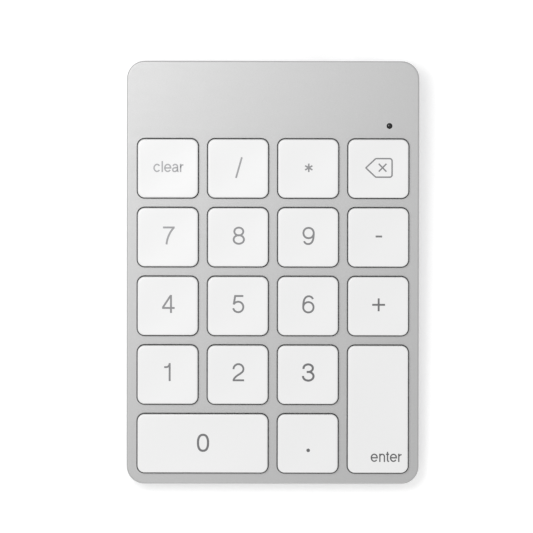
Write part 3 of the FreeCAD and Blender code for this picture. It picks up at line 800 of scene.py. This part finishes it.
def print_legend(name):
    """The print on one key, bent to lie in its dish."""
    drawing, width, (dx, dy) = LEGENDS[name]
    place, dish = KEY_TOPS[name]
    scale = DIGIT_SCALE if name.isdigit() else 1.0
    if drawing:
        strokes = moved(drawing(), scale=scale)
        meshes = [pen_stroke(points, closed, width * scale) for points, closed in strokes]
    else:
        meshes = [disc(width)]
    mesh = one_solid(meshes)
    for vert in mesh.vertices:
        x = (vert.co.x + dx) * MM
        y = (vert.co.y + dy) * MM
        vert.co = Vector((x, y, vert.co.z * MM + dish.height(x, y)))
    mesh.transform(place)
    add_piece(f"legend_{name}", mesh, f"key_{name}", INK_WITH_PAINTED_SHEEN)


for key_name in KEY_NAMES:
    print_legend(key_name)

# -------------------- scissors and domes under keys

FILM_HEIGHT = height_span("rubber_domes")[0]


def fold_under_key(piece):
    """Gives the piece a mesh of its own."""
    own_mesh(piece)


def scissor(name):
    """The two crossed links under a key."""
    node = f"scissor_{name}"
    mesh = to_mesh(joined_copy(node), f"links_{name}")
    smooth(mesh)
    piece = add_piece(f"links_{name}", mesh, "case", LINK_PLASTIC)
    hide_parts(node)
    fold_under_key(piece)


# Half of a dome's section, as radius and height, from the top of its plunger round to the air inside
DOME_SECTION = [
    (0.0, 2.75), (1.42, 2.75), (1.6, 2.66), (1.70, 2.35), (1.74, 2.1), (2.1, 1.35), (2.45, 0.65),
    (2.62, 0.45), (2.95, 0.32), (3.1, 0.26), (3.1, 0.0), (2.2, 0.0), (2.15, 0.4), (1.8, 1.05),
    (1.3, 1.95), (1.15, 2.1), (0.78, 2.1), (0.7, 2.0), (0.7, 0.95), (0.62, 0.9), (0.0, 0.9),
]


def dome(name):
    """The silicone spring under a key."""
    place = KEY_TOPS[name][0]
    mesh = lathed(f"dome_{name}", DOME_SECTION, deck_place(place.translation, FILM_HEIGHT))
    smooth(mesh, angle=50)
    piece = add_piece(f"dome_{name}", mesh, "case", SILICONE)
    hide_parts("rubber_domes")
    fold_under_key(piece)


for key_name in KEY_NAMES:
    scissor(key_name)
    dome(key_name)

# -------------------- indicator: a light pipe with a domed tip

# Radii, and heights from the top of the tip, in millimetres
PIPE_TIP_R = 0.75
PIPE_TIP_BEVEL_IN = 0.02
PIPE_TIP_BEVEL_DOWN = 0.03
PIPE_DOME_R = 1.3
PIPE_DOME_STEPS = 8
PIPE_FLANGE_R = 1.3
PIPE_FLANGE_TOP = -0.5
PIPE_FLANGE_FOOT = -1.15
PIPE_STEM_R = 0.9


def light_pipe():
    """A clear peg that ends in a shallow dome, with a flange that rests under the deck."""
    low, top = height_span("led_light_pipe")
    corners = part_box("led_light_pipe")
    stem_foot = (low - top) / MM
    section = []
    for step in range(PIPE_DOME_STEPS + 1):
        r = (PIPE_TIP_R - PIPE_TIP_BEVEL_IN) * step / PIPE_DOME_STEPS
        section.append((r, math.sqrt(PIPE_DOME_R**2 - r * r) - PIPE_DOME_R))
    section += [
        (PIPE_TIP_R, section[-1][1] - PIPE_TIP_BEVEL_DOWN),
        (PIPE_TIP_R, PIPE_FLANGE_TOP),
        (PIPE_FLANGE_R, PIPE_FLANGE_TOP),
        (PIPE_FLANGE_R, PIPE_FLANGE_FOOT),
        (PIPE_STEM_R, PIPE_FLANGE_FOOT),
        (PIPE_STEM_R, stem_foot),
        (0, stem_foot),
    ]
    mesh = lathed("light_pipe", section, deck_place((corners[0] + corners[1]) / 2, top))
    smooth(mesh)
    piece = add_piece("light_pipe", mesh, "case", LENS)
    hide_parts("led_light_pipe")


light_pipe()

# -------------------- floor, light and camera

# The picture is VIEW_WIDTH wide at about the height of the middle of the deck. The roll is in degrees.
VIEW_WIDTH = 144.84 * MM
MID_DECK_SHARE = 0.75
DECK_HEIGHT = cad_bounds[1][2] * MID_DECK_SHARE
AIM = Vector((-1.75 * MM, 1.60 * MM, 0.0))
CAMERA_HEIGHT = 2.5
CAMERA_ROLL = 0.09
SENSOR_WIDTH = 36.0

FLOOR_HALF = 1.5
FLOOR_GLOW = 0.21
SKY_STRENGTH = 0.68

# Square softboxes round the keypad: place, side and power
SOFTBOXES = {
    "rear softbox": ((-0.12, 0.17, 0.50), 0.25, 0.25),
    "left softbox": ((-0.15, 0.08, 0.40), 0.20, 0.37),
    "front softbox": ((0.0, -0.50, 0.40), 0.30, 0.30),
}


def floor():
    """A plain white floor. Its faint glow keeps it white round the keypad's shadow."""
    bm = bmesh.new()
    bmesh.ops.create_grid(bm, x_segments=8, y_segments=8, size=FLOOR_HALF)
    mesh = to_mesh(bm, "floor")
    recipe = Recipe("white floor", grey(1.0), roughness=0.9)
    recipe.set(**{"Emission Color": (1, 1, 1, 1), "Emission Strength": FLOOR_GLOW})
    recipe.set(**{"Specular IOR Level": 0.0})
    plane = bpy.data.objects.new("floor", mesh)
    mesh.materials.append(recipe.material)
    bpy.context.scene.collection.objects.link(plane)


def softbox(name, place, side, power):
    """A square lamp that faces the keypad."""
    light = bpy.data.lights.new(name, "AREA")
    light.size = side
    light.energy = power
    lamp = bpy.data.objects.new(name, light)
    lamp.location = place
    lamp.rotation_euler = (-Vector(place)).to_track_quat("-Z", "Y").to_euler()
    lamp.visible_camera = False
    bpy.context.scene.collection.objects.link(lamp)


def sky():
    """Even white light from all round."""
    world = bpy.data.worlds.new("studio")
    world.use_nodes = True
    background = world.node_tree.nodes["Background"]
    background.inputs["Color"].default_value = (1, 1, 1, 1)
    background.inputs["Strength"].default_value = SKY_STRENGTH
    bpy.context.scene.world = world


def camera():
    """Looks straight down from far away, so that perspective hardly shows."""
    data = bpy.data.cameras.new("camera")
    data.sensor_width = SENSOR_WIDTH
    data.lens = SENSOR_WIDTH * (CAMERA_HEIGHT - DECK_HEIGHT) / VIEW_WIDTH
    data.clip_end = 10.0
    eye = bpy.data.objects.new("camera", data)
    eye.location = AIM + Vector((0, 0, CAMERA_HEIGHT))
    eye.rotation_euler.z = math.radians(CAMERA_ROLL)
    bpy.context.scene.collection.objects.link(eye)
    bpy.context.scene.camera = eye


floor()
sky()
for lamp_name, lamp_values in SOFTBOXES.items():
    softbox(lamp_name, *lamp_values)
camera()
bpy.context.scene.view_settings.view_transform = "Standard"
